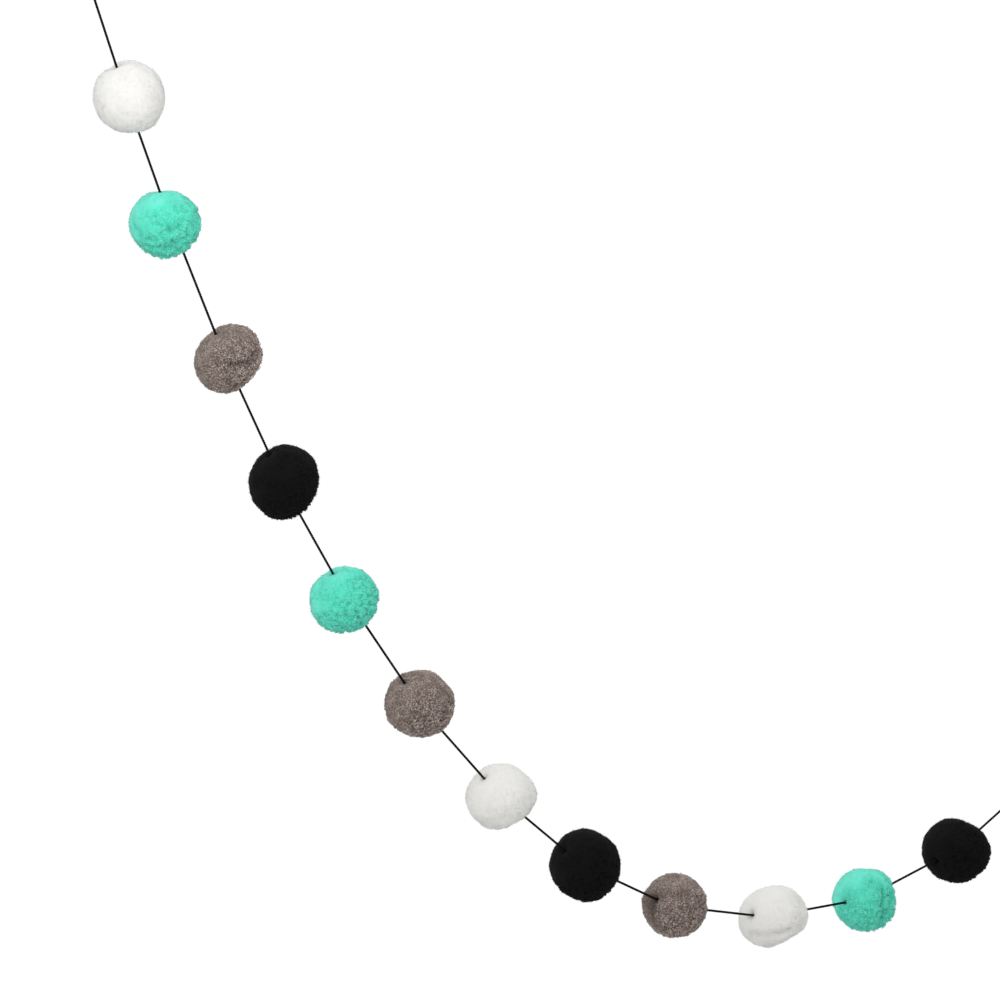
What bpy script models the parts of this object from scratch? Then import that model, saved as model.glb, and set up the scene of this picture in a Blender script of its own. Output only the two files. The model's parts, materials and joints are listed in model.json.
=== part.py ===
"""Pompom garland: twelve yarn pompoms threaded on one thin black string that hangs in a slack curve.

Metres, +Z up. The string hangs in the plane Y = 0, from the high loop down and along +X to the low loop.
The origin is the inside of the high loop's crown, where a hook or a nail bears.
"""
import math
from typing import NamedTuple

import bmesh
import bpy
from mathutils import Matrix, Vector, noise

STRING_DIAMETER = 0.0018
STRING_CLEARANCE = 0.0003

LOOP_LENGTH = 0.034
STRAND_SPACING = 0.0028
HIGH_LOOP_CROWN = (0.0, 0.0)
HIGH_LOOP_RISES = (-0.391, 0.920)
LOW_LOOP_CROWN = (0.9596, -0.6052)
LOW_LOOP_RISES = (0.859, 0.512)

KNOT_WRAPS = 3
KNOT_WRAP_PITCH = 0.0019
KNOT_CREST_RADIUS = 0.0041
KNOT_GROOVE_RADIUS = 0.0033
KNOT_SEGMENTS = 18

POMPOM_POINTS = 330
PILE_INSET = 0.0004
LOCKS_PER_POMPOM = 24
LOCK_HEIGHT = 0.0012
LOCK_TIP_SCALE = 0.5
LOCK_LEAN = 0.0006
LOCK_LEAN_SEED = 7
LOCK_STRING_CLEARANCE = math.radians(24)
WIDE_LUMP_HEIGHT = 0.0010
SMALL_LUMP_HEIGHT = 0.0008
DIMPLE_DEPTH = 0.0038
DIMPLE_REACH = 0.0050

# The pompoms' shapes are given as the room side sees them, which looks at the string's plane from this turn.
ROOM_SIDE_TURN = math.radians(42)
TO_THE_RIGHT = Vector((math.cos(ROOM_SIDE_TURN), -math.sin(ROOM_SIDE_TURN), 0))
INTO_THE_ROOM = Vector((-math.sin(ROOM_SIDE_TURN), -math.cos(ROOM_SIDE_TURN), 0))
UP = Vector((0, 0, 1))


class Pompom(NamedTuple):
    """One pompom: its centre and the string's way in and out as (x, z), and its longest and shortest
    widths as the room side sees them, with the longest turned by tilt degrees from level."""
    colour: str
    centre: tuple
    longest: float
    shortest: float
    tilt: float
    enters: tuple
    leaves: tuple


POMPOMS = (
    Pompom("white", (0.0491, -0.1098), 0.0515, 0.0492, -69, (0.0392, -0.0920), (0.0552, -0.1285)),
    Pompom("mint", (0.0812, -0.1967), 0.0500, 0.0468, -11, (0.0777, -0.1770), (0.0950, -0.2110)),
    Pompom("taupe", (0.1381, -0.2897), 0.0507, 0.0446, 52, (0.1269, -0.2726), (0.1465, -0.3073)),
    Pompom("black", (0.1898, -0.3764), 0.0535, 0.0496, 75, (0.1777, -0.3593), (0.1996, -0.3928)),
    Pompom("mint", (0.2456, -0.4597), 0.0501, 0.0470, 28, (0.2356, -0.4418), (0.2604, -0.4722)),
    Pompom("taupe", (0.3170, -0.5352), 0.0507, 0.0480, -8, (0.3028, -0.5203), (0.3310, -0.5486)),
    Pompom("white", (0.3951, -0.6041), 0.0498, 0.0472, 8, (0.3795, -0.5908), (0.4115, -0.6147)),
    Pompom("black", (0.4792, -0.6570), 0.0539, 0.0516, -78, (0.4611, -0.6469), (0.4970, -0.6643)),
    Pompom("taupe", (0.5693, -0.6900), 0.0484, 0.0476, -25, (0.5496, -0.6843), (0.5885, -0.6931)),
    Pompom("white", (0.6704, -0.7021), 0.0522, 0.0444, 24, (0.6499, -0.7005), (0.6899, -0.7000)),
    Pompom("mint", (0.7688, -0.6933), 0.0493, 0.0479, -49, (0.7481, -0.6947), (0.7869, -0.6862)),
    Pompom("black", (0.8681, -0.6594), 0.0531, 0.0500, -13, (0.8487, -0.6655), (0.8852, -0.6495)),
)


class Dent(NamedTuple):
    """A hollow, or a swelling where rise is positive, in the pompom of that number. Its middle is given by
    the clock angle round the outline and the turn forward from the outline, both in degrees."""
    pompom: int
    clock: float
    forward: float
    reach: float
    rise: float


DENTS = (
    Dent(1, 325, 0, 0.008, -0.0018),
    Dent(1, 300, 0, 0.006, 0.0012),
    Dent(1, 2, 0, 0.005, 0.0008),
    Dent(1, 140, 0, 0.006, 0.0012),
    Dent(1, 195, 0, 0.006, -0.0010),
    Dent(2, 355, 0, 0.006, 0.0010),
    Dent(2, 130, 0, 0.005, -0.0010),
    Dent(2, 150, 45, 0.007, -0.0014),
    Dent(2, 70, 0, 0.007, 0.0008),
    Dent(3, 45, 0, 0.007, 0.0010),
    Dent(3, 95, 5, 0.005, 0.0014),
    Dent(3, 130, 70, 0.004, -0.0022),
    Dent(3, 105, 50, 0.004, -0.0026),
    Dent(3, 78, 40, 0.004, -0.0024),
    Dent(3, 125, 0, 0.008, -0.0012),
    Dent(3, 200, 0, 0.005, -0.0010),
    Dent(3, 330, 0, 0.005, -0.0010),
    Dent(4, 52, 0, 0.007, 0.0016),
    Dent(4, 120, 0, 0.009, -0.0018),
    Dent(4, 185, 0, 0.006, 0.0008),
    Dent(4, 315, 0, 0.004, 0.0012),
    Dent(5, 52, 0, 0.005, -0.0018),
    Dent(5, 180, 0, 0.006, -0.0009),
    Dent(6, 51, 5, 0.004, -0.0026),
    Dent(6, 190, 10, 0.006, -0.0008),
    Dent(7, 84, 0, 0.007, 0.0026),
    Dent(7, 150, 0, 0.008, -0.0024),
    Dent(7, 205, 0, 0.005, 0.0014),
    Dent(8, 270, 0, 0.004, 0.0012),
    Dent(8, 30, 0, 0.005, -0.0014),
    Dent(8, 65, 0, 0.005, 0.0012),
    Dent(8, 95, 0, 0.004, -0.0012),
    Dent(8, 210, 0, 0.006, -0.0010),
    Dent(9, 185, 0, 0.005, -0.0012),
    Dent(9, 230, 0, 0.005, 0.0008),
    Dent(10, 90, 0, 0.006, 0.0022),
    Dent(10, 110, 5, 0.004, 0.0030),
    Dent(10, 146, 0, 0.009, -0.0022),
    Dent(10, 183, 0, 0.004, 0.0020),
    Dent(10, 165, 60, 0.004, -0.0018),
    Dent(10, 130, 48, 0.004, -0.0018),
    Dent(11, 2, 0, 0.008, -0.0020),
    Dent(11, 88, 0, 0.008, -0.0014),
    Dent(11, 45, 5, 0.007, 0.0018),
    Dent(11, 260, 0, 0.005, 0.0010),
    Dent(11, 58, 48, 0.0035, -0.0014),
    Dent(11, 105, 55, 0.0035, -0.0016),
    Dent(11, 138, 38, 0.0035, -0.0014),
    Dent(12, 30, 0, 0.008, -0.0020),
    Dent(12, 240, 0, 0.006, -0.0010),
    Dent(12, 92, 0, 0.006, 0.0016),
)

# One loop from its free tail to the strand that runs on: (along, aside) from the knot's foot on that strand,
# along towards the crown, and aside towards the tail.
LOOP_OUTLINE = (
    (-0.0090, 0.0044),
    (0.0, STRAND_SPACING),
    (0.0140, 0.0049),
    (0.0270, 0.0054),
    (LOOP_LENGTH + STRING_DIAMETER / 2, 0.0),
    (0.0270, -0.0054),
    (0.0140, -0.0042),
    (0.0, 0.0),
)
LOOP_STEPS = 3
THREADED_STEPS = 2
STRAIGHT_STEPS = 1

YARN_COLOURS = {
    "white": (0.80, 0.80, 0.78, 1),
    "mint": (0.13, 0.66, 0.50, 1),
    "taupe": (0.22, 0.17, 0.15, 1),
    "black": (0.010, 0.010, 0.010, 1),
}
STRING_COLOUR = (0.008, 0.008, 0.008, 1)


def clear_scene():
    for old in list(bpy.data.objects):
        bpy.data.objects.remove(old)


def new_collection(name):
    collection = bpy.data.collections.new(name)
    bpy.context.scene.collection.children.link(collection)
    return collection


def cloth_material(name, colour, roughness):
    material = bpy.data.materials.new(name)
    material.use_nodes = True
    surface = material.node_tree.nodes["Principled BSDF"]
    surface.inputs["Base Color"].default_value = colour
    surface.inputs["Roughness"].default_value = roughness
    surface.inputs["Metallic"].default_value = 0.0
    return material


def hung(point):
    """A point (x, z) of the string's plane, in space."""
    return Vector((point[0], 0, point[1]))


def loop_frame(crown, rises):
    """The foot of a loop's knot on the running strand, the way to the crown, and the way to the tail."""
    along = hung(rises).normalized()
    aside = Vector((-along.z, 0, along.x))
    if aside.z < 0:
        aside.negate()
    return hung(crown) - along * LOOP_LENGTH, along, aside


def loop_points(crown, rises):
    foot, along, aside = loop_frame(crown, rises)
    return [foot + along * ahead + aside * beside for ahead, beside in LOOP_OUTLINE]


def between(before, start, end, after, share):
    """A point of the Catmull-Rom curve that runs from start to end, at that share of the way."""
    square = share * share
    cube = square * share
    return 0.5 * (
        2 * start
        + (end - before) * share
        + (2 * before - 5 * start + 4 * end - after) * square
        + (3 * start - before - 3 * end + after) * cube
    )


def string_route():
    """The string's centreline, read from a smooth curve through the loops and the pompoms' ways in and out."""
    route = loop_points(HIGH_LOOP_CROWN, HIGH_LOOP_RISES)
    steps = [LOOP_STEPS] * (len(route) - 1) + [STRAIGHT_STEPS]
    for pompom in POMPOMS:
        route += [hung(pompom.enters), hung(pompom.leaves)]
        steps += [THREADED_STEPS, STRAIGHT_STEPS]
    low_loop = loop_points(LOW_LOOP_CROWN, LOW_LOOP_RISES)
    route += reversed(low_loop)
    steps += [LOOP_STEPS] * (len(low_loop) - 1)
    line = []
    for index, count in enumerate(steps):
        before = route[max(index - 1, 0)]
        after = route[min(index + 2, len(route) - 1)]
        for step in range(count):
            line.append(between(before, route[index], route[index + 1], after, step / count))
    line.append(route[-1])
    return line


def tube(name, line, radius, collection):
    curve = bpy.data.curves.new(name, "CURVE")
    curve.dimensions = "3D"
    curve.bevel_depth = radius
    curve.bevel_resolution = 2
    curve.use_fill_caps = True
    spline = curve.splines.new("POLY")
    spline.points.add(len(line) - 1)
    for point, place in zip(spline.points, line):
        point.co = (*place, 1)
    body = bpy.data.objects.new(name, curve)
    collection.objects.link(body)
    return body


def made_mesh(body, collection):
    """The curve object's tube as a closed mesh object of the same name and place."""
    name = body.name
    bpy.context.view_layer.update()
    mesh = bpy.data.meshes.new_from_object(body.evaluated_get(bpy.context.evaluated_depsgraph_get()))
    shape = bmesh.new()
    shape.from_mesh(mesh)
    bmesh.ops.remove_doubles(shape, verts=shape.verts, dist=1e-6)
    shape.to_mesh(mesh)
    shape.free()
    place = body.matrix_world.copy()
    bpy.data.objects.remove(body)
    solid = bpy.data.objects.new(name, mesh)
    solid.matrix_world = place
    collection.objects.link(solid)
    return solid


def pierce(body, cutter):
    cut = body.modifiers.new("string bore", "BOOLEAN")
    cut.operation = "DIFFERENCE"
    cut.solver = "EXACT"
    cut.object = cutter


def spread_directions(count, twist):
    """Directions spread evenly over a ball along a golden spiral, turned by twist radians."""
    golden_turn = math.pi * (3 - math.sqrt(5))
    directions = []
    for index in range(count):
        height = 1 - (2 * index + 1) / count
        ring = math.sqrt(1 - height * height)
        turn = index * golden_turn + twist
        directions.append(Vector((ring * math.cos(turn), ring * math.sin(turn), height)))
    return directions


def seen_at(clock, forward):
    """The direction from a pompom's centre at that clock angle, turned forward into the room."""
    outward = TO_THE_RIGHT * math.sin(clock) + UP * math.cos(clock)
    return outward * math.cos(forward) + INTO_THE_ROOM * math.sin(forward)


def hollows_of(number, pompom):
    """Where the pompom is dented or swells: direction, reach and rise. The string draws the yarn in
    round its two holes."""
    hollows = []
    for dent in DENTS:
        if dent.pompom == number:
            towards = seen_at(math.radians(dent.clock), math.radians(dent.forward))
            hollows.append((towards, dent.reach, dent.rise))
    for way in (pompom.enters, pompom.leaves):
        towards = (hung(way) - hung(pompom.centre)).normalized()
        hollows.append((towards, DIMPLE_REACH, -DIMPLE_DEPTH))
    return hollows


def pompom_radius(direction, number, pompom, hollows):
    """How far the pompom reaches from its centre in that direction."""
    tilt = math.radians(pompom.tilt)
    long_way = TO_THE_RIGHT * math.cos(tilt) + UP * math.sin(tilt)
    short_way = UP * math.cos(tilt) - TO_THE_RIGHT * math.sin(tilt)
    deep = (pompom.longest + pompom.shortest) / 2
    stretched = Vector((
        direction.dot(long_way) / pompom.longest,
        direction.dot(short_way) / pompom.shortest,
        direction.dot(INTO_THE_ROOM) / deep,
    ))
    radius = 0.5 / stretched.length - PILE_INSET
    seat = Vector((number * 7.3, number * 3.1, 0))
    radius += WIDE_LUMP_HEIGHT * noise.noise(direction * 2.6 + seat)
    radius += SMALL_LUMP_HEIGHT * noise.noise(direction * 6.5 + seat)
    size = radius
    for towards, reach, rise in hollows:
        apart = direction.angle(towards) * size
        radius += rise * math.exp(-(apart / reach) ** 2)
    return radius


def raise_locks(shape, number, pompom):
    """Draws short three-sided locks of yarn out of faces that are spread over the ball."""
    ways = [(hung(way) - hung(pompom.centre)).normalized() for way in (pompom.enters, pompom.leaves)]
    rooted = set()
    for direction in spread_directions(LOCKS_PER_POMPOM, number * 0.9):
        if min(direction.angle(way) for way in ways) > LOCK_STRING_CLEARANCE:
            rooted.add(max(shape.faces, key=lambda face: face.calc_center_median().normalized().dot(direction)))
    rooted = sorted(rooted, key=lambda face: face.index)
    for lock in bmesh.ops.extrude_discrete_faces(shape, faces=rooted)["faces"]:
        root = lock.calc_center_median()
        lean = noise.noise_vector(root * 900) * LOCK_LEAN
        tip = root + root.normalized() * LOCK_HEIGHT + lean
        for vertex in lock.verts:
            vertex.co = tip + (vertex.co - root) * LOCK_TIP_SCALE


def make_pompom(number, pompom, material, collection):
    name = f"pompom_{number:02d}_{pompom.colour}"
    hollows = hollows_of(number, pompom)
    shape = bmesh.new()
    for direction in spread_directions(POMPOM_POINTS, number * 1.7):
        shape.verts.new(direction)
    bmesh.ops.convex_hull(shape, input=shape.verts)
    for vertex in shape.verts:
        direction = vertex.co.normalized()
        vertex.co = direction * pompom_radius(direction, number, pompom, hollows)
    bmesh.ops.recalc_face_normals(shape, faces=shape.faces)
    shape.faces.index_update()
    raise_locks(shape, number, pompom)
    mesh = bpy.data.meshes.new(name)
    shape.to_mesh(mesh)
    shape.free()
    mesh.materials.append(material)
    mesh.shade_smooth()
    body = bpy.data.objects.new(name, mesh)
    body.location = hung(pompom.centre)
    collection.objects.link(body)
    return body


def make_knot(name, crown, rises, material, collection):
    """A knot of three wraps round both strands of a loop: a ridged turned shape, bored for the strands."""
    half = KNOT_WRAPS * KNOT_WRAP_PITCH / 2
    profile = [(0.0, half), (KNOT_GROOVE_RADIUS, half)]
    for wrap in range(KNOT_WRAPS):
        top = half - wrap * KNOT_WRAP_PITCH
        profile.append((KNOT_CREST_RADIUS, top - KNOT_WRAP_PITCH * 0.3))
        profile.append((KNOT_CREST_RADIUS, top - KNOT_WRAP_PITCH * 0.7))
        profile.append((KNOT_GROOVE_RADIUS, top - KNOT_WRAP_PITCH))
    profile.append((0.0, -half))
    mesh = bpy.data.meshes.new(name)
    shape = bmesh.new()
    corners = [shape.verts.new((radius, 0, height)) for radius, height in profile]
    for upper, lower in zip(corners, corners[1:]):
        shape.edges.new((upper, lower))
    shape.to_mesh(mesh)
    shape.free()
    mesh.materials.append(material)
    body = bpy.data.objects.new(name, mesh)
    collection.objects.link(body)
    turn = body.modifiers.new("turned wraps", "SCREW")
    turn.steps = KNOT_SEGMENTS
    turn.render_steps = KNOT_SEGMENTS
    turn.use_merge_vertices = True
    turn.merge_threshold = 1e-5
    foot, along, aside = loop_frame(crown, rises)
    across = aside.cross(along)
    place = Matrix((aside, across, along)).transposed().to_4x4()
    place.translation = foot + aside * (STRAND_SPACING / 2)
    body.matrix_world = place
    return body


clear_scene()
noise.seed_set(LOCK_LEAN_SEED)
garland = new_collection("pompom_garland")
cutters = new_collection("cutters")

string_material = cloth_material("black string", STRING_COLOUR, 0.6)
centreline = string_route()
string = tube("string", centreline, STRING_DIAMETER / 2, garland)
string.data.materials.append(string_material)

bore_radius = STRING_DIAMETER / 2 + STRING_CLEARANCE
string_bore = made_mesh(tube("string_bore", centreline, bore_radius, cutters), cutters)
string_bore.hide_render = True
string_bore.display_type = "WIRE"

yarns = {colour: cloth_material(f"{colour} yarn", value, 0.9) for colour, value in YARN_COLOURS.items()}
for number, pompom in enumerate(POMPOMS, start=1):
    pierce(make_pompom(number, pompom, yarns[pompom.colour], garland), string_bore)

high_knot = make_knot("high_knot", HIGH_LOOP_CROWN, HIGH_LOOP_RISES, string_material, garland)
low_knot = make_knot("low_knot", LOW_LOOP_CROWN, LOW_LOOP_RISES, string_material, garland)
pierce(high_knot, string_bore)
pierce(low_knot, string_bore)
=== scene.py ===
import json
import math
import random

import bmesh
import bpy
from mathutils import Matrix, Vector, noise
from mathutils.bvhtree import BVHTree

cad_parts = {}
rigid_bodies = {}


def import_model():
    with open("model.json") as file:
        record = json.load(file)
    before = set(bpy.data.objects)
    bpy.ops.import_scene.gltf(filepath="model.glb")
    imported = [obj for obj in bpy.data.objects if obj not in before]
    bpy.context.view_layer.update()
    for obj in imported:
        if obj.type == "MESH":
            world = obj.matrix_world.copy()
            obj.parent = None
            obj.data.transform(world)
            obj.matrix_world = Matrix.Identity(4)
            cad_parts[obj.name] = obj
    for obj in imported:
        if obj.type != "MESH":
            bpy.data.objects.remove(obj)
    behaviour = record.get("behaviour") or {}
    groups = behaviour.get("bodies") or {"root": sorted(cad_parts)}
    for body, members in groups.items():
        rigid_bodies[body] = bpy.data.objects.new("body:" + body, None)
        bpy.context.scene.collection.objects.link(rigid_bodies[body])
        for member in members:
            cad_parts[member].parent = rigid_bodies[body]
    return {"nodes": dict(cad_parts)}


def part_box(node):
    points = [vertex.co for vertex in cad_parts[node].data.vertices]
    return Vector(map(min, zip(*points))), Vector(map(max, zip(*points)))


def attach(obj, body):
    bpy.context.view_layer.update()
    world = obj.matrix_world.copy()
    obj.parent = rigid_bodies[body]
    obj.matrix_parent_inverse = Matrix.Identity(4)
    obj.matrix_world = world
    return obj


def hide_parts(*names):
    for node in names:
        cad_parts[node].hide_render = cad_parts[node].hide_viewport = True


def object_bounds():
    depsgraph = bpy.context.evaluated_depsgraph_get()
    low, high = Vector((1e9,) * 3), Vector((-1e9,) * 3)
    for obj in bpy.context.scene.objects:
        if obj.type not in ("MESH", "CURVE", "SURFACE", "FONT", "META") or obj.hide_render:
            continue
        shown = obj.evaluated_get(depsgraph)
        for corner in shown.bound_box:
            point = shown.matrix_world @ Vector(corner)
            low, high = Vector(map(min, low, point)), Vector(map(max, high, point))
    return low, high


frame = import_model()
cad_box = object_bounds()

# The view: the garland hangs in the upright plane Y = 0 and is seen level from the room side, 42 degrees
# off square, through a long lens, so that the low end stands a little farther away than the high end.
ROOM_SIDE_TURN = math.radians(42)
to_the_right = Vector((math.cos(ROOM_SIDE_TURN), -math.sin(ROOM_SIDE_TURN), 0))
into_the_room = Vector((-math.sin(ROOM_SIDE_TURN), -math.cos(ROOM_SIDE_TURN), 0))
UP = Vector((0, 0, 1))
VIEW_CENTRE = Vector((0.3947, 0, -0.3888))
VIEW_DISTANCE = 5.0
LENS_IN_MM = 248
SENSOR_IN_MM = 36

camera_data = bpy.data.cameras.new("camera")
camera_data.sensor_width = SENSOR_IN_MM
camera_data.lens = LENS_IN_MM
camera = bpy.data.objects.new("camera", camera_data)
camera.location = VIEW_CENTRE + into_the_room * VIEW_DISTANCE
camera.rotation_euler = (math.pi / 2, 0, -ROOM_SIDE_TURN)
bpy.context.scene.collection.objects.link(camera)
bpy.context.scene.camera = camera

# The string: one length of thin black thread, three plies twisted together, pulled through every pompom
# with a needle and turned back into a small hanging loop at each end. It runs straight from ball to ball.
STRING_DIAMETER = 0.0018
PLIES = 3
PLY_RISE = 0.14
THREAD_RADIUS_SHARE = 0.49
THREAD_LAY = 0.0054
THREAD_STEP = 0.00045
THREAD_SIDES = 12
LOOP_LENGTH = 0.034
STRAND_SPACING = 0.0028
HIGH_LOOP_CROWN = (0.0, 0.0)
HIGH_LOOP_RISES = (-0.391, 0.920)
LOW_LOOP_CROWN = (0.9596, -0.6052)
LOW_LOOP_RISES = (0.859, 0.512)

# One loop from its free tail to the strand that runs on: (along, aside) from the knot's foot on that strand.
LOOP_OUTLINE = (
    (-0.0090, 0.0044),
    (0.0, STRAND_SPACING),
    (0.0140, 0.0049),
    (0.0270, 0.0054),
    (LOOP_LENGTH + STRING_DIAMETER / 2, 0.0),
    (0.0270, -0.0054),
    (0.0140, -0.0042),
    (0.0, 0.0),
)
# Where the string goes into and out of each pompom, as (x, z) in its plane.
WAYS_THROUGH = (
    ((0.0392, -0.0920), (0.0552, -0.1285)),
    ((0.0777, -0.1770), (0.0950, -0.2110)),
    ((0.1269, -0.2726), (0.1465, -0.3073)),
    ((0.1777, -0.3593), (0.1996, -0.3928)),
    ((0.2356, -0.4418), (0.2604, -0.4722)),
    ((0.3028, -0.5203), (0.3310, -0.5486)),
    ((0.3795, -0.5908), (0.4115, -0.6147)),
    ((0.4611, -0.6469), (0.4970, -0.6643)),
    ((0.5496, -0.6843), (0.5885, -0.6931)),
    ((0.6499, -0.7005), (0.6899, -0.7000)),
    ((0.7481, -0.6947), (0.7869, -0.6862)),
    ((0.8487, -0.6655), (0.8852, -0.6495)),
)
LOOP_STEPS = 10
THREADED_STEPS = 6
STRAIGHT_STEPS = 1


def hung(point):
    """A point (x, z) of the string's plane, in space."""
    return Vector((point[0], 0, point[1]))


def loop_frame(crown, rises):
    """The foot of a loop's knot on the running strand, the way to the crown, and the way to the tail."""
    along = hung(rises).normalized()
    aside = Vector((-along.z, 0, along.x))
    if aside.z < 0:
        aside.negate()
    return hung(crown) - along * LOOP_LENGTH, along, aside


def loop_points(crown, rises):
    """The loop's outline, from its free tail round to the strand that runs on."""
    foot, along, aside = loop_frame(crown, rises)
    return [foot + along * ahead + aside * beside for ahead, beside in LOOP_OUTLINE]


def smooth_line(route, steps):
    """Reads a Catmull-Rom curve through the route, with that many steps from each point to the next."""
    line = []
    for index, count in enumerate(steps):
        before = route[max(index - 1, 0)]
        start = route[index]
        end = route[index + 1]
        after = route[min(index + 2, len(route) - 1)]
        for step in range(count):
            share = step / count
            bend = (2 * before - 5 * start + 4 * end - after) * share ** 2
            twist = (3 * start - before - 3 * end + after) * share ** 3
            line.append(0.5 * (2 * start + (end - before) * share + bend + twist))
    line.append(route[-1])
    return line


def string_line():
    """The string's centreline from the tail of the high loop to the tail of the low one."""
    route = loop_points(HIGH_LOOP_CROWN, HIGH_LOOP_RISES)
    steps = [LOOP_STEPS] * (len(route) - 1) + [STRAIGHT_STEPS]
    for enters, leaves in WAYS_THROUGH:
        route += [hung(enters), hung(leaves)]
        steps += [THREADED_STEPS, STRAIGHT_STEPS]
    route += reversed(loop_points(LOW_LOOP_CROWN, LOW_LOOP_RISES))
    steps += [LOOP_STEPS] * (len(LOOP_OUTLINE) - 1)
    return smooth_line(route, steps)


def add_input(tree, name, kind, default=None):
    socket = tree.interface.new_socket(name, in_out="INPUT", socket_type=kind)
    if default is not None:
        socket.default_value = default
    return socket


def node(tree, kind, inputs=(), **settings):
    """A node of that kind, with its settings and its inputs, each a value or another node's output."""
    made = tree.nodes.new(kind)
    for name, value in settings.items():
        setattr(made, name, value)
    for name, value in dict(inputs).items():
        if isinstance(value, bpy.types.NodeSocket):
            tree.links.new(value, made.inputs[name])
        else:
            made.inputs[name].default_value = value
    return made


def math_node(tree, operation, first, second=0.0, third=0.0):
    return node(tree, "ShaderNodeMath", {0: first, 1: second, 2: third}, operation=operation).outputs[0]


def scaled(tree, vector, share):
    return node(tree, "ShaderNodeVectorMath", {0: vector, "Scale": share}, operation="SCALE").outputs[0]


def material_set(tree, geometry, material):
    """Ends the tree: the geometry smoothly shaded, in that material."""
    smooth = node(tree, "GeometryNodeSetShadeSmooth", {"Geometry": geometry})
    finished = node(tree, "GeometryNodeSetMaterial", {"Geometry": smooth.outputs[0], "Material": material})
    result = tree.nodes.new("NodeGroupOutput")
    tree.links.new(finished.outputs[0], result.inputs[0])


def thread_tree():
    """Sweeps a lobed thread along a chain of edges and turns it once in each length of lay."""
    tree = bpy.data.node_groups.new("three-ply thread", "GeometryNodeTree")
    add_input(tree, "Geometry", "NodeSocketGeometry")
    add_input(tree, "Diameter", "NodeSocketFloat", STRING_DIAMETER)
    add_input(tree, "Lay", "NodeSocketFloat", THREAD_LAY)
    add_input(tree, "Step", "NodeSocketFloat", THREAD_STEP)
    add_input(tree, "Material", "NodeSocketMaterial")
    tree.interface.new_socket("Geometry", in_out="OUTPUT", socket_type="NodeSocketGeometry")
    given = tree.nodes.new("NodeGroupInput").outputs
    path = node(tree, "GeometryNodeMeshToCurve", {"Mesh": given["Geometry"]})
    even = node(
        tree, "GeometryNodeResampleCurve", {"Curve": path.outputs[0], "Length": given["Step"]}, mode="LENGTH"
    )
    run = node(tree, "GeometryNodeSplineParameter").outputs["Length"]
    turns = math_node(tree, "DIVIDE", run, given["Lay"])
    angle = math_node(tree, "MULTIPLY", turns, math.tau)
    laid = node(tree, "GeometryNodeSetCurveTilt", {"Curve": even.outputs[0], "Tilt": angle})
    radius = math_node(tree, "MULTIPLY", given["Diameter"], THREAD_RADIUS_SHARE)
    round_section = {"Resolution": THREAD_SIDES, "Radius": radius}
    ring = node(tree, "GeometryNodeCurvePrimitiveCircle", round_section, mode="RADIUS")
    place = node(tree, "GeometryNodeInputPosition").outputs[0]
    parts = node(tree, "ShaderNodeSeparateXYZ", {0: place}).outputs
    around = math_node(tree, "ARCTAN2", parts["Y"], parts["X"])
    lobes = math_node(tree, "COSINE", math_node(tree, "MULTIPLY", around, PLIES))
    swell = math_node(tree, "MULTIPLY_ADD", lobes, PLY_RISE, 1.0)
    lobed_place = scaled(tree, place, swell)
    lobed = node(tree, "GeometryNodeSetPosition", {"Geometry": ring.outputs[0], "Position": lobed_place})
    swept = node(
        tree,
        "GeometryNodeCurveToMesh",
        {"Curve": laid.outputs[0], "Profile Curve": lobed.outputs[0], "Fill Caps": True},
    )
    single = node(tree, "GeometryNodeRealizeInstances", {"Geometry": swept.outputs[0]})
    material_set(tree, single.outputs[0], given["Material"])
    return tree


def grown(name, mesh, tree, values):
    """Runs the tree on the mesh with those input values, and keeps the result as a plain mesh object."""
    body = bpy.data.objects.new(name, mesh)
    bpy.context.scene.collection.objects.link(body)
    growth = body.modifiers.new("growth", "NODES")
    growth.node_group = tree
    for item in tree.interface.items_tree:
        if item.in_out == "INPUT" and item.name in values:
            growth[item.identifier] = values[item.name]
    bpy.context.view_layer.update()
    made = bpy.data.meshes.new_from_object(body.evaluated_get(bpy.context.evaluated_depsgraph_get()))
    body.modifiers.remove(growth)
    made.name = name
    body.data = made
    return body


def chain(name, line):
    """The line's points joined by edges, for the thread to be swept along."""
    mesh = bpy.data.meshes.new(name)
    mesh.from_pydata(line, [(index, index + 1) for index in range(len(line) - 1)], [])
    return mesh


def thread_material():
    """Waxed black thread: a matte near-black, a little greyer here and there."""
    material = bpy.data.materials.new("black thread")
    material.use_nodes = True
    tree = material.node_tree
    surface = tree.nodes["Principled BSDF"]
    surface.inputs["Roughness"].default_value = 0.7
    surface.inputs["Specular IOR Level"].default_value = 0.06
    place = node(tree, "ShaderNodeTexCoord").outputs["Object"]
    wear = node(tree, "ShaderNodeTexNoise", {"Vector": place, "Scale": 900.0, "Detail": 3.0}).outputs["Fac"]
    shade = node(tree, "ShaderNodeValToRGB", {"Fac": wear})
    shade.color_ramp.elements[0].position = 0.35
    shade.color_ramp.elements[0].color = (0.004, 0.004, 0.004, 1)
    shade.color_ramp.elements[1].position = 0.8
    shade.color_ramp.elements[1].color = (0.012, 0.012, 0.012, 1)
    tree.links.new(shade.outputs[0], surface.inputs["Base Color"])
    fibres = node(tree, "ShaderNodeTexNoise", {"Vector": place, "Scale": 5200.0, "Detail": 2.0})
    rise = {"Height": fibres.outputs["Fac"], "Strength": 0.35, "Distance": 0.0001}
    relief = node(tree, "ShaderNodeBump", rise)
    tree.links.new(relief.outputs[0], surface.inputs["Normal"])
    return material


thread = thread_tree()
black_thread = thread_material()
centreline = string_line()
string = grown("string_thread", chain("string", centreline), thread, {"Material": black_thread})
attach(string, "root")
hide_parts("string")

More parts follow.
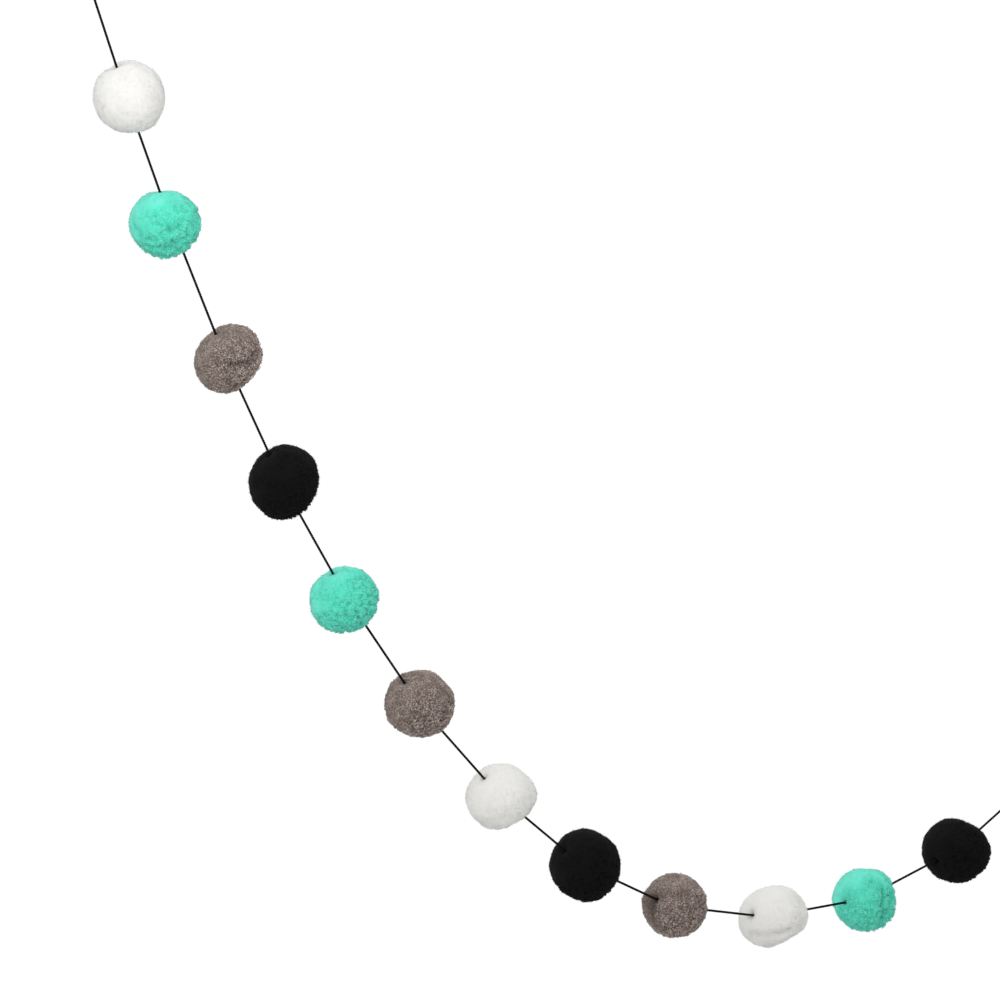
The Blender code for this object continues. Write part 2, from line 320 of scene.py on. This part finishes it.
# The two knots: the string's own end wound three times round both strands of its loop and pulled tight,
# so that the wraps lie side by side and their ends dive back under them.
KNOT_WRAPS = 3
KNOT_WRAP_PITCH = STRING_DIAMETER * 1.02
KNOT_HALF_WIDTH = 0.0032
KNOT_HALF_DEPTH = 0.0024
KNOT_END_WIDTH_SHARE = 0.62
KNOT_WIDENING_PER_WRAP = 0.76
KNOT_STEPS_PER_WRAP = 16
KNOT_THREAD_STEP = 0.0004


def knot_line(crown, rises):
    """The wraps' centreline: an oval helix round both strands whose two ends turn in between them."""
    foot, along, aside = loop_frame(crown, rises)
    across = aside.cross(along)
    middle = foot + aside * (STRAND_SPACING / 2)
    count = KNOT_WRAPS * KNOT_STEPS_PER_WRAP
    line = []
    for step in range(count + 1):
        turn = step / KNOT_STEPS_PER_WRAP * math.tau
        wraps_from_end = min(step, count - step) / KNOT_STEPS_PER_WRAP
        tucked = min(1.0, KNOT_END_WIDTH_SHARE + KNOT_WIDENING_PER_WRAP * wraps_from_end)
        ahead = (step / count - 0.5) * (KNOT_WRAPS - 1) * KNOT_WRAP_PITCH
        wide = math.cos(turn) * KNOT_HALF_WIDTH
        deep = math.sin(turn) * KNOT_HALF_DEPTH
        line.append(middle + along * ahead + (aside * wide + across * deep) * tucked)
    return line


for end, crown, rises in (
    ("high", HIGH_LOOP_CROWN, HIGH_LOOP_RISES),
    ("low", LOW_LOOP_CROWN, LOW_LOOP_RISES),
):
    knot = grown(f"{end}_knot_wraps", chain(f"{end} knot", knot_line(crown, rises)), thread, {
        "Material": black_thread,
        "Step": KNOT_THREAD_STEP,
    })
    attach(knot, "root")
    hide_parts(f"{end}_knot")

# The pompoms: hundreds of lengths of soft spun yarn tied tight round the middle, so that their cut ends stand
# out all round, and trimmed to a dense ball. The string draws the pile in where it goes through.
PILE_PROUD = 0.0004
PILE_SPRING = 0.0003
FLUSH_SHARE = 0.85
CORE_FINENESS = 5
CORE_SMOOTHINGS = 6
CORE_SHARPEST_DIP = 0.0003
CORE_LOOK_OUT = 0.045
RIPPLES_PER_RADIUS = 6
RIPPLES_APART = 5.7
DIMPLE_DEPTH = 0.0026
DIMPLE_WIDTH = 0.0019
DEEPEST_SHADE_AT = 0.0045

# For each yarn: how deep its pile is open between the cut ends, how far its trimmed surface rolls, how deep
# its clumps part, how much the pile has parted where it has parted least, how many strands have worked loose
# on each square metre, and how much of the light's play on the sides of each single end is lost in the spread
# of light from fibre to fibre.
PILES = {
    "white": (0.0001, 0.0003, 0.0002, 0.05, 0, 0.95),
    "mint": (0.0004, 0.0006, 0.0024, 0.03, 160000, 0.65),
    "taupe": (0.0008, 0.0006, 0.0014, 0.45, 400000, 0.4),
    "black": (0.0006, 0.0006, 0.0012, 0.1, 0, 0.75),
}


def seen_at(clock, forward):
    """The way out of a pompom at that clock angle on its outline, turned forward into the room in degrees."""
    outward = to_the_right * math.sin(math.radians(clock)) + UP * math.cos(math.radians(clock))
    return outward * math.cos(math.radians(forward)) + into_the_room * math.sin(math.radians(forward))


# Where the pile parts in a soft crease, whose yarn takes painted shade: the pompom, the clock angle and turn
# forward of both ends, and the crease's width and depth.
CREASES = (
    (3, 150, 78, 100, 44, 0.0026, 0.0026),
    (3, 100, 44, 76, 28, 0.0026, 0.0022),
    (2, 175, 40, 130, 42, 0.0022, 0.0014),
    (10, 170, 56, 124, 46, 0.0026, 0.0018),
    (11, 55, 46, 104, 55, 0.0018, 0.0024),
    (11, 104, 55, 140, 34, 0.0018, 0.0024),
    (11, 70, 32, 112, 38, 0.0018, 0.0018),
    (9, 250, 34, 286, 40, 0.0060, 0.0034),
    (9, 228, 28, 206, 36, 0.0030, 0.0014),
    (6, 323, 38, 350, 20, 0.0020, 0.0018),
    (6, 38, 36, 76, 24, 0.0020, 0.0014),
    (5, 36, 32, 66, 14, 0.0020, 0.0018),
    (10, 236, 34, 176, 58, 0.0034, 0.0014),
)


def crease_depth(number, way, size):
    """How much the creases of that pompom lower its surface in that direction."""
    depth = 0.0
    for pompom, clock, forward, far_clock, far_forward, width, deepest in CREASES:
        if pompom == number:
            start = seen_at(clock, forward)
            end = seen_at(far_clock, far_forward)
            share = max(0.0, min(1.0, (way - start).dot(end - start) / (end - start).length_squared))
            apart = (way - start.lerp(end, share).normalized()).length * size
            depth = max(depth, deepest * math.exp(-(apart / width) ** 2))
    return depth


# How far the pile has parted into clumps, and so where its painted root shade shows: everywhere, towards the
# low right side that the light from the upper left reaches least, behind, and more or less in chance patches.
PARTED_EVERYWHERE = 0.35
PARTED_LOW_RIGHT = 0.8
LOW_RIGHT_CLOCK = 138
LOW_RIGHT_FORWARD = 30
PARTED_BEHIND = 0.65
PARTED_BY_CHANCE = 0.5
PATCHES_PER_RADIUS = 2.2
PATCHES_APART = 3.1


def openness(number, way, least):
    """How far the pile has parted into clumps in that direction: most low down on the right, as it hangs, and
    about half way behind."""
    towards_low_right = way.dot(seen_at(LOW_RIGHT_CLOCK, LOW_RIGHT_FORWARD))
    parted_low_right_and_behind = PARTED_LOW_RIGHT * towards_low_right + PARTED_BEHIND * max(0.0, -way.dot(into_the_room))
    patch = noise.noise(way * PATCHES_PER_RADIUS + Vector((0, number * PATCHES_APART, 0)))
    return max(least, min(1.0, PARTED_EVERYWHERE + parted_low_right_and_behind + PARTED_BY_CHANCE * patch))


def dimple_depth(number, way, size, centre):
    """How much the string draws in the pile in that direction, round each place where it goes through."""
    depth = 0.0
    for end in WAYS_THROUGH[number - 1]:
        apart = (way - (hung(end) - centre).normalized()).length * size
        depth += DIMPLE_DEPTH * math.exp(-(apart / DIMPLE_WIDTH) ** 2)
    return depth


def flush_height(pile_depth):
    """How far the core comes up between yarn ends that lie shut, with no clumps parted."""
    return FLUSH_SHARE * (pile_depth + PILE_PROUD)


def core_sizes(name, core, ways, centre):
    """How far the solid reaches from its centre in each direction, with its locks of yarn smoothed away."""
    solid = frame["nodes"][name].data
    skin = BVHTree.FromPolygons([v.co for v in solid.vertices], [p.vertices for p in solid.polygons])
    sizes = []
    for way in ways:
        found = skin.ray_cast(centre + way * CORE_LOOK_OUT, -way)[0]
        sizes.append((found - centre).length if found else 0.0)
    around = [[edge.other_vert(vertex).index for edge in vertex.link_edges] for vertex in core.verts]
    for smoothing in range(CORE_SMOOTHINGS):
        means = [sum(sizes[other] for other in near) / len(near) for near in around]
        sizes = [max((own + mean) / 2, mean - CORE_SHARPEST_DIP) for own, mean in zip(sizes, means)]
    return sizes


def pompom_core(number, name, pile_depth, ripple_rise, least_parted):
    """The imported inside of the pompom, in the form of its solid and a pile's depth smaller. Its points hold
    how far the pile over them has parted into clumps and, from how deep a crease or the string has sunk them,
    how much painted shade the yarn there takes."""
    low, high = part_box(name)
    centre = (Vector(low) + Vector(high)) / 2
    core = bmesh.new()
    bmesh.ops.create_icosphere(core, subdivisions=CORE_FINENESS, radius=1.0)
    core.verts.ensure_lookup_table()
    ways = [vertex.co.normalized() for vertex in core.verts]
    sizes = core_sizes(name, core, ways, centre)
    partings = [openness(number, way, least_parted) for way in ways]
    crease_shades = []
    for vertex, way, size, parted in zip(core.verts, ways, sizes, partings):
        size += noise.noise(way * RIPPLES_PER_RADIUS + Vector((number * RIPPLES_APART, 0, 0))) * ripple_rise
        drawn_in = crease_depth(number, way, size) + dimple_depth(number, way, size, centre)
        full = flush_height(pile_depth) * (1 - parted)
        vertex.co = centre + way * (size + PILE_SPRING - pile_depth + full - drawn_in)
        # Painted shade in creases and round the string's dimples, full where they sink the pile
        # DEEPEST_SHADE_AT deep.
        crease_shades.append(min(1.0, drawn_in / DEEPEST_SHADE_AT))
    mesh = bpy.data.meshes.new(f"{name} core")
    core.to_mesh(mesh)
    core.free()
    for held, values in (("parted", partings), ("sunken", crease_shades)):
        mesh.attributes.new(held, "FLOAT", "POINT")
        mesh.attributes[held].data.foreach_set("value", values)
    return mesh, centre


YARN_END_LENGTH = 0.0013
YARN_END_SIDES = 4
YARN_END_ROOT = 0.00075
YARN_END_BRIM = 0.0008
YARN_END_RAGGEDNESS = 0.28
BRIM_HEIGHT_SHARE = 0.72
BRIM_UP_THE_PILE = 0.8
FIBRE_SIDES = 3
FIBRE_ROOT = 0.0002
FIBRE_RAGGEDNESS = 0.2
FIBRE_REACHES = (1.3, 1.7, 2.2)


def cut_end(chance, sides, length, root, brim, raggedness):
    """A cut yarn end: a stalk that widens from its root to a ragged brim and ends in a low point, or in a
    plain point where it has no brim. Its points hold how far up the pile they are."""
    shape = bmesh.new()
    height = shape.verts.layers.float.new("up_the_pile")

    def ring(radius, lift, share):
        made = []
        for side in range(sides):
            turn = (side + chance.uniform(-raggedness, raggedness)) / sides * math.tau
            reach = radius * chance.uniform(1 - raggedness, 1 + raggedness)
            rise = lift + brim * chance.uniform(-raggedness, raggedness) * share
            made.append(shape.verts.new((math.cos(turn) * reach, math.sin(turn) * reach, rise)))
            made[-1][height] = share
        return made

    foot = ring(root, 0.0, 0.0)
    shape.faces.new(reversed(foot))
    top = shape.verts.new((0, 0, length))
    top[height] = 1.0
    rim = ring(brim, length * BRIM_HEIGHT_SHARE, BRIM_UP_THE_PILE) if brim else []
    for side in range(sides):
        beside = (side + 1) % sides
        if brim:
            shape.faces.new((foot[side], foot[beside], rim[beside], rim[side]))
            shape.faces.new((rim[side], rim[beside], top))
        else:
            shape.faces.new((foot[side], foot[beside], top))
    mesh = bpy.data.meshes.new("cut end")
    shape.to_mesh(mesh)
    shape.free()
    return mesh


CURL_SPAN = 0.0026
CURL_RISE = 0.0007
CURL_SWAY = 0.5
CURL_THICKNESS = 0.00042


def curl(chance, sides=3, bends=4):
    """A crimped strand that has worked loose: it rises out of the pile, lies over it and dips back in."""
    shape = bmesh.new()
    height = shape.verts.layers.float.new("up_the_pile")
    sway = chance.uniform(-CURL_SWAY, CURL_SWAY)
    rings = []
    for bend in range(bends):
        share = bend / (bends - 1)
        middle = Vector((
            (share - 0.5) * CURL_SPAN,
            math.sin(share * math.tau) * sway * CURL_RISE,
            math.sin(share * math.pi) * CURL_RISE,
        ))
        rings.append([])
        for side in range(sides):
            turn = side / sides * math.tau
            rim = Vector((0, math.cos(turn), math.sin(turn))) * CURL_THICKNESS / 2
            rings[-1].append(shape.verts.new(middle + rim))
            rings[-1][-1][height] = 1.0
    for near, far in zip(rings, rings[1:]):
        for side in range(sides):
            beside = (side + 1) % sides
            shape.faces.new((near[side], near[beside], far[beside], far[side]))
    shape.faces.new(reversed(rings[0]))
    shape.faces.new(rings[-1])
    bmesh.ops.recalc_face_normals(shape, faces=shape.faces)
    mesh = bpy.data.meshes.new("curl")
    shape.to_mesh(mesh)
    shape.free()
    return mesh


def shelf_of_shapes(name, meshes):
    """A collection of the shapes to be planted, kept off the scene."""
    shelf = bpy.data.collections.new(name)
    for index, mesh in enumerate(meshes):
        shelf.objects.link(bpy.data.objects.new(f"{name} {index}", mesh))
    return shelf


CLUMP_SIZE = 0.0032
CLUMP_LEAN = 0.55
CLUMP_LEVEL = 0.17
CLUMP_STEEPNESS = 3.0
YARN_SPACING = 0.00135
YARN_CROWDING = 760000
YARN_LEAN = 0.25
FIBRES_PER_SQUARE_METRE = 700000
FIBRE_UNRULINESS = 3.0
SMALLEST_END = 0.82
LARGEST_END = 1.12
# Where the chance draws of each layer start, and those of its sizes and its shades after them.
YARN_DRAWS = 0
CURL_DRAWS = 20
FIBRE_DRAWS = 40
SIZE_DRAWS = 7
SHADE_DRAWS = 13


def vector_node(tree, operation, first, second=(0.0, 0.0, 0.0)):
    return node(tree, "ShaderNodeVectorMath", {0: first, 1: second}, operation=operation).outputs[0]


def clumped_core(tree, given):
    """Lowers the core between its clumps. Gives the core, the way straight out of it, how far it has parted
    and the way that the pile stands as it gathers to the middle of each clump."""
    place = node(tree, "GeometryNodeInputPosition").outputs[0]
    straight = vector_node(tree, "NORMALIZE", vector_node(tree, "SUBTRACT", place, given["Centre"]))
    parted = node(tree, "GeometryNodeInputNamedAttribute", {"Name": "parted"}, data_type="FLOAT").outputs[0]
    clumps_per_metre = math_node(tree, "DIVIDE", 1.0, given["Clump size"])
    clump = node(tree, "ShaderNodeTexVoronoi", {"Vector": place, "Scale": clumps_per_metre}).outputs
    off_middle = math_node(tree, "SUBTRACT", math_node(tree, "POWER", clump["Distance"], 2.0), CLUMP_LEVEL)
    dip = math_node(tree, "MULTIPLY", math_node(tree, "MULTIPLY", off_middle, parted), given["Clump depth"])
    lowered = scaled(tree, straight, math_node(tree, "MULTIPLY", dip, -CLUMP_STEEPNESS))
    clumped = node(tree, "GeometryNodeSetPosition", {"Geometry": given["Geometry"], "Offset": lowered})
    core = node(tree, "GeometryNodeStoreNamedAttribute", {
        "Geometry": clumped.outputs[0],
        "Name": "facing",
        "Value": node(tree, "GeometryNodeInputNormal").outputs[0],
    }, data_type="FLOAT_VECTOR", domain="POINT").outputs[0]
    pull = math_node(tree, "MULTIPLY", clumps_per_metre, parted)
    pull = math_node(tree, "MULTIPLY", pull, given["Clump lean"])
    to_middle = vector_node(tree, "SUBTRACT", clump["Position"], place)
    bunched = vector_node(tree, "ADD", straight, scaled(tree, to_middle, pull))
    return core, straight, parted, bunched


def planted_points(tree, given, core, shapes, seed, share):
    """Points all over the core: evenly spaced for the yarn ends, and by chance for what has worked loose."""
    if shapes == "Yarn ends":
        spacing = {"Distance Min": given["Yarn spacing"], "Density Max": given["Yarn crowding"]}
        method = "POISSON"
    else:
        spacing = {"Density": math_node(tree, "MULTIPLY", given[f"{shapes} crowding"], share)}
        method = "RANDOM"
    planted = node(
        tree,
        "GeometryNodeDistributePointsOnFaces",
        {"Mesh": core, "Seed": seed, **spacing},
        distribute_method=method,
    )
    return planted.outputs["Points"]


def drawn(tree, lowest, highest, seed):
    """A number by chance between those two, for each point."""
    draw = node(tree, "FunctionNodeRandomValue", {"Seed": seed}, data_type="FLOAT")
    draw.inputs[2].default_value = lowest
    draw.inputs[3].default_value = highest
    return draw.outputs[1]


def stood_up(tree, bunched, lean, seed):
    """A turn that stands a shape up along the pile, leaned by chance to any side and turned about itself."""
    against = math_node(tree, "MULTIPLY", lean, -1.0)
    lowest = node(tree, "ShaderNodeCombineXYZ", {"X": against, "Y": against, "Z": against}).outputs[0]
    highest = node(tree, "ShaderNodeCombineXYZ", {"X": lean, "Y": lean, "Z": lean}).outputs[0]
    limits = {"Min": lowest, "Max": highest, "Seed": seed}
    astray = node(tree, "FunctionNodeRandomValue", limits, data_type="FLOAT_VECTOR").outputs["Value"]
    leaned = vector_node(tree, "ADD", bunched, astray)
    aimed = node(tree, "FunctionNodeAlignRotationToVector", {"Vector": leaned}, axis="Z").outputs[0]
    spin = node(tree, "ShaderNodeCombineXYZ", {"Z": drawn(tree, 0.0, math.tau, seed)}).outputs[0]
    about_itself = {"Rotation": aimed, "Rotate By": spin}
    return node(tree, "FunctionNodeRotateRotation", about_itself, rotation_space="LOCAL").outputs[0]


def pile_tree():
    """Plants yarn ends, crimped strands and loose fibres all over a core. Each leans to the middle of its
    clump where the pile has parted, is turned and sized by chance, and holds a shade of its own."""
    tree = bpy.data.node_groups.new("cut pile", "GeometryNodeTree")
    for name, kind, default in (
        ("Geometry", "Geometry", None),
        ("Centre", "Vector", None),
        ("Yarn ends", "Collection", None),
        ("Curls", "Collection", None),
        ("Fibres", "Collection", None),
        ("Yarn spacing", "Float", YARN_SPACING),
        ("Yarn crowding", "Float", YARN_CROWDING),
        ("Curls crowding", "Float", None),
        ("Fibres crowding", "Float", FIBRES_PER_SQUARE_METRE),
        ("Lean", "Float", YARN_LEAN),
        ("Sink", "Float", None),
        ("Pile depth", "Float", None),
        ("Flush", "Float", None),
        ("Clump size", "Float", CLUMP_SIZE),
        ("Clump lean", "Float", CLUMP_LEAN),
        ("Clump depth", "Float", None),
        ("Seed", "Int", 1),
        ("Material", "Material", None),
    ):
        add_input(tree, name, f"NodeSocket{kind}", default)
    tree.interface.new_socket("Geometry", in_out="OUTPUT", socket_type="NodeSocketGeometry")
    given = tree.nodes.new("NodeGroupInput").outputs
    core, straight, parted, bunched = clumped_core(tree, given)
    held_back = math_node(tree, "MULTIPLY", math_node(tree, "SUBTRACT", parted, 1.0), given["Flush"])
    layers = [core]
    for shapes, first_draw, unruliness, share, lift in (
        ("Yarn ends", YARN_DRAWS, 1.0, 1.0, given["Sink"]),
        ("Curls", CURL_DRAWS, 1.0, parted, given["Pile depth"]),
        ("Fibres", FIBRE_DRAWS, FIBRE_UNRULINESS, 1.0, given["Sink"]),
    ):
        seed = math_node(tree, "ADD", given["Seed"], first_draw)
        points = planted_points(tree, given, core, shapes, seed, share)
        sunk = scaled(tree, straight, math_node(tree, "ADD", lift, held_back))
        rooted = node(tree, "GeometryNodeSetPosition", {"Geometry": points, "Offset": sunk})
        lean = math_node(tree, "MULTIPLY", given["Lean"], unruliness)
        stock = node(tree, "GeometryNodeCollectionInfo", {
            "Collection": given[shapes],
            "Separate Children": True,
            "Reset Children": True,
        })
        size_seed = math_node(tree, "ADD", seed, SIZE_DRAWS)
        set_out = node(tree, "GeometryNodeInstanceOnPoints", {
            "Points": rooted.outputs[0],
            "Instance": stock.outputs[0],
            "Pick Instance": True,
            "Rotation": stood_up(tree, bunched, lean, seed),
            "Scale": drawn(tree, SMALLEST_END, LARGEST_END, size_seed),
        })
        marked = node(tree, "GeometryNodeStoreNamedAttribute", {
            "Geometry": set_out.outputs[0],
            "Name": "own_shade",
            "Value": drawn(tree, 0.0, 1.0, math_node(tree, "ADD", seed, SHADE_DRAWS)),
        }, data_type="FLOAT", domain="INSTANCE")
        layers.append(node(tree, "GeometryNodeRealizeInstances", {"Geometry": marked.outputs[0]}).outputs[0])
    joined = tree.nodes.new("GeometryNodeJoinGeometry")
    for layer in reversed(layers):
        tree.links.new(layer, joined.inputs[0])
    material_set(tree, joined.outputs[0], given["Material"])
    return tree


PATCHES_PER_METRE = 130.0
PATCH_CONTRAST = 1.2
SHUT_PILE_POWER = 3.0
SHADE_IN_PILE_POWER = 0.7
HAIRS_PER_METRE = 2600.0


def held_by_points(tree, name):
    return node(tree, "ShaderNodeAttribute", attribute_name=name).outputs["Fac"]


def mixed_colour(tree, share, first, second):
    """The first colour where the share is 0 and the second where it is 1."""
    return node(tree, "ShaderNodeMix", {"Factor": share, 6: first, 7: second}, data_type="RGBA").outputs[2]


def yarn_material(colour, deep, dull, bright, crease_shade_share, sheen):
    """Soft spun yarn: painted shade down in the open pile and in creases, and between dull and bright out at
    the ends, where each yarn differs a little from the next and wide patches catch more or less dye and
    light."""
    material = bpy.data.materials.new(f"{colour} yarn")
    material.use_nodes = True
    tree = material.node_tree
    surface = tree.nodes["Principled BSDF"]
    surface.inputs["Roughness"].default_value = 0.9
    surface.inputs["Specular IOR Level"].default_value = 0.05
    surface.inputs["Sheen Weight"].default_value = sheen
    surface.inputs["Sheen Roughness"].default_value = 0.6
    place = node(tree, "ShaderNodeTexCoord").outputs["Object"]
    parted = held_by_points(tree, "parted")
    own = math_node(tree, "SUBTRACT", held_by_points(tree, "own_shade"), 0.5)
    spots = {"Vector": place, "Scale": PATCHES_PER_METRE, "Detail": 2.0}
    patches = math_node(tree, "SUBTRACT", node(tree, "ShaderNodeTexNoise", spots).outputs["Fac"], 0.5)
    uneven = math_node(tree, "MULTIPLY", patches, PATCH_CONTRAST)
    mixed = math_node(tree, "ADD", math_node(tree, "MULTIPLY_ADD", own, parted, 0.5), uneven)
    ends = mixed_colour(tree, mixed, (*dull, 1), (*bright, 1))
    shut = math_node(tree, "POWER", math_node(tree, "SUBTRACT", 1.0, parted), SHUT_PILE_POWER)
    up = math_node(tree, "MAXIMUM", held_by_points(tree, "up_the_pile"), shut)
    # Painted shade down in the pile: towards the roots of the ends the colour runs to the deep colour, where
    # the pile has parted.
    pile = mixed_colour(tree, math_node(tree, "POWER", up, SHADE_IN_PILE_POWER), (*deep, 1), ends)
    # Painted shade in creases and round the string's dimples: the yarn there runs to a darker copy of its
    # deep colour.
    painted_crease_colour = tuple(part * crease_shade_share for part in deep)
    shaded = mixed_colour(tree, held_by_points(tree, "sunken"), pile, (*painted_crease_colour, 1))
    tree.links.new(shaded, surface.inputs["Base Color"])
    hairs = node(tree, "ShaderNodeTexNoise", {"Vector": place, "Scale": HAIRS_PER_METRE, "Detail": 2.0})
    rise = {"Height": hairs.outputs["Fac"], "Strength": 0.4, "Distance": 0.0002}
    relief = node(tree, "ShaderNodeBump", rise)
    tree.links.new(relief.outputs[0], surface.inputs["Normal"])
    return material


OWN_SHADING_WHERE_SHUT = 0.12


def soften(ball, softness):
    """Turns the shading normals most of the way to the way that the pile faces, as light that spreads from
    fibre to fibre evens out the sides of each yarn end."""
    mesh = ball.data
    pile_faces = mesh.attributes["facing"].data
    partings = mesh.attributes["parted"].data
    normals = []
    for vertex, facing, parted in zip(mesh.vertices, pile_faces, partings):
        own = (1 - softness) * min(1.0, OWN_SHADING_WHERE_SHUT + parted.value)
        normals.append((facing.vector * (1 - own) + vertex.normal * own).normalized())
    mesh.attributes.remove(mesh.attributes["facing"])
    mesh.normals_split_custom_set_from_vertices(normals)


# Each yarn's colour down in the pile, a painted shade darker than the ends for mint and taupe and about the
# same for white and black, and its dull and its bright colour at the cut ends; the share of the first that is
# painted in a crease as shade; and its sheen.
YARN_COLOURS = {
    "white": ((0.88, 0.875, 0.85), (0.865, 0.86, 0.83), (0.885, 0.88, 0.855), 0.7, 0.0),
    "mint": ((0.085, 0.76, 0.54), (0.13, 0.83, 0.63), (0.20, 0.89, 0.72), 0.65, 0.12),
    "taupe": ((0.165, 0.127, 0.11), (0.19, 0.147, 0.129), (0.62, 0.51, 0.465), 0.6, 0.03),
    "black": ((0.006, 0.006, 0.006), (0.006, 0.006, 0.006), (0.0075, 0.0075, 0.0075), 0.5, 0.02),
}
YARN_END_SHAPES = 5
CURL_SHAPES = 4
CURL_ROOTS_SUNK = 0.0001
SHAPES_SEED = 11
SEEDS_APART = 101

yarns = {colour: yarn_material(colour, *look) for colour, look in YARN_COLOURS.items()}
chance = random.Random(SHAPES_SEED)
yarn_ends = shelf_of_shapes("yarn ends", [
    cut_end(chance, YARN_END_SIDES, YARN_END_LENGTH, YARN_END_ROOT, YARN_END_BRIM, YARN_END_RAGGEDNESS)
    for shape in range(YARN_END_SHAPES)
])
loose_fibres = shelf_of_shapes("loose fibres", [
    cut_end(chance, FIBRE_SIDES, YARN_END_LENGTH * reach, FIBRE_ROOT, 0.0, FIBRE_RAGGEDNESS)
    for reach in FIBRE_REACHES
])
curls = shelf_of_shapes("curls", [curl(chance) for shape in range(CURL_SHAPES)])
pile = pile_tree()
for name in sorted(frame["nodes"]):
    if not name.startswith("pompom"):
        continue
    number = int(name.split("_")[1])
    colour = name.split("_")[2]
    pile_depth, ripple_rise, clump_depth, least_parted, loose_strands, softness = PILES[colour]
    core, centre = pompom_core(number, name, pile_depth, ripple_rise, least_parted)
    ball = grown(f"{name}_pile", core, pile, {
        "Centre": centre,
        "Yarn ends": yarn_ends,
        "Curls": curls,
        "Fibres": loose_fibres,
        "Curls crowding": loose_strands,
        "Sink": pile_depth + PILE_PROUD - YARN_END_LENGTH,
        "Pile depth": pile_depth - CURL_ROOTS_SUNK,
        "Flush": flush_height(pile_depth),
        "Clump depth": clump_depth,
        "Seed": number * SEEDS_APART,
        "Material": yarns[colour],
    })
    soften(ball, softness)
    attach(ball, "root")
    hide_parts(name)
for shelf in (yarn_ends, curls, loose_fibres):
    for shape in list(shelf.objects):
        bpy.data.objects.remove(shape)
    bpy.data.collections.remove(shelf)

# The room: plain white all round, with a pale floor well below the garland, and soft light from the upper
# left, so that the pompoms at the high end are a little brighter than those at the low end.
FLOOR_DROP = 0.45
FLOOR_SIZE = 4.0
WHITE_BEHIND = 1.05
FILLING_STRENGTH = 0.69
FILLING_RISE = 0.22
KEY_PLACE = VIEW_CENTRE + into_the_room * 1.05 - to_the_right * 0.16 + UP * 0.34
KEY_WIDTH = 1.0
KEY_WATTS = 3.9


def add_floor():
    low, high = cad_box
    middle = (VIEW_CENTRE.x, 0, low[2] - FLOOR_DROP)
    bpy.ops.mesh.primitive_plane_add(size=FLOOR_SIZE, location=middle)
    floor = bpy.context.object
    floor.name = "floor"
    paint = bpy.data.materials.new("pale floor")
    paint.use_nodes = True
    surface = paint.node_tree.nodes["Principled BSDF"]
    surface.inputs["Base Color"].default_value = (0.82, 0.82, 0.82, 1)
    surface.inputs["Roughness"].default_value = 0.8
    floor.data.materials.append(paint)


def add_soft_light(name, place, aim, width, power):
    data = bpy.data.lights.new(name, "AREA")
    data.shape = "DISK"
    data.size = width
    data.energy = power
    lamp = bpy.data.objects.new(name, data)
    lamp.location = place
    lamp.rotation_euler = (aim - place).to_track_quat("-Z", "Y").to_euler()
    lamp.visible_camera = False
    bpy.context.scene.collection.objects.link(lamp)


def light_the_room():
    """White behind the garland as the eye sees it, and a weaker white as the light that fills the shadows."""
    world = bpy.data.worlds.new("white room")
    bpy.context.scene.world = world
    world.use_nodes = True
    tree = world.node_tree
    seen = tree.nodes["Background"]
    seen.inputs["Color"].default_value = (1, 1, 1, 1)
    seen.inputs["Strength"].default_value = WHITE_BEHIND
    direction = node(tree, "ShaderNodeTexCoord").outputs["Generated"]
    rise = node(tree, "ShaderNodeSeparateXYZ", {0: direction}).outputs["Z"]
    from_above = math_node(tree, "MULTIPLY_ADD", rise, FILLING_RISE, FILLING_STRENGTH)
    filling = node(tree, "ShaderNodeBackground", {"Color": (1, 1, 1, 1), "Strength": from_above})
    looked_at = node(tree, "ShaderNodeLightPath").outputs["Is Camera Ray"]
    blend = node(tree, "ShaderNodeMixShader", {0: looked_at, 1: filling.outputs[0], 2: seen.outputs[0]})
    tree.links.new(blend.outputs[0], tree.nodes["World Output"].inputs["Surface"])


add_floor()
light_the_room()
bpy.context.scene.view_settings.view_transform = "Standard"
add_soft_light("key light", KEY_PLACE, VIEW_CENTRE, KEY_WIDTH, KEY_WATTS)
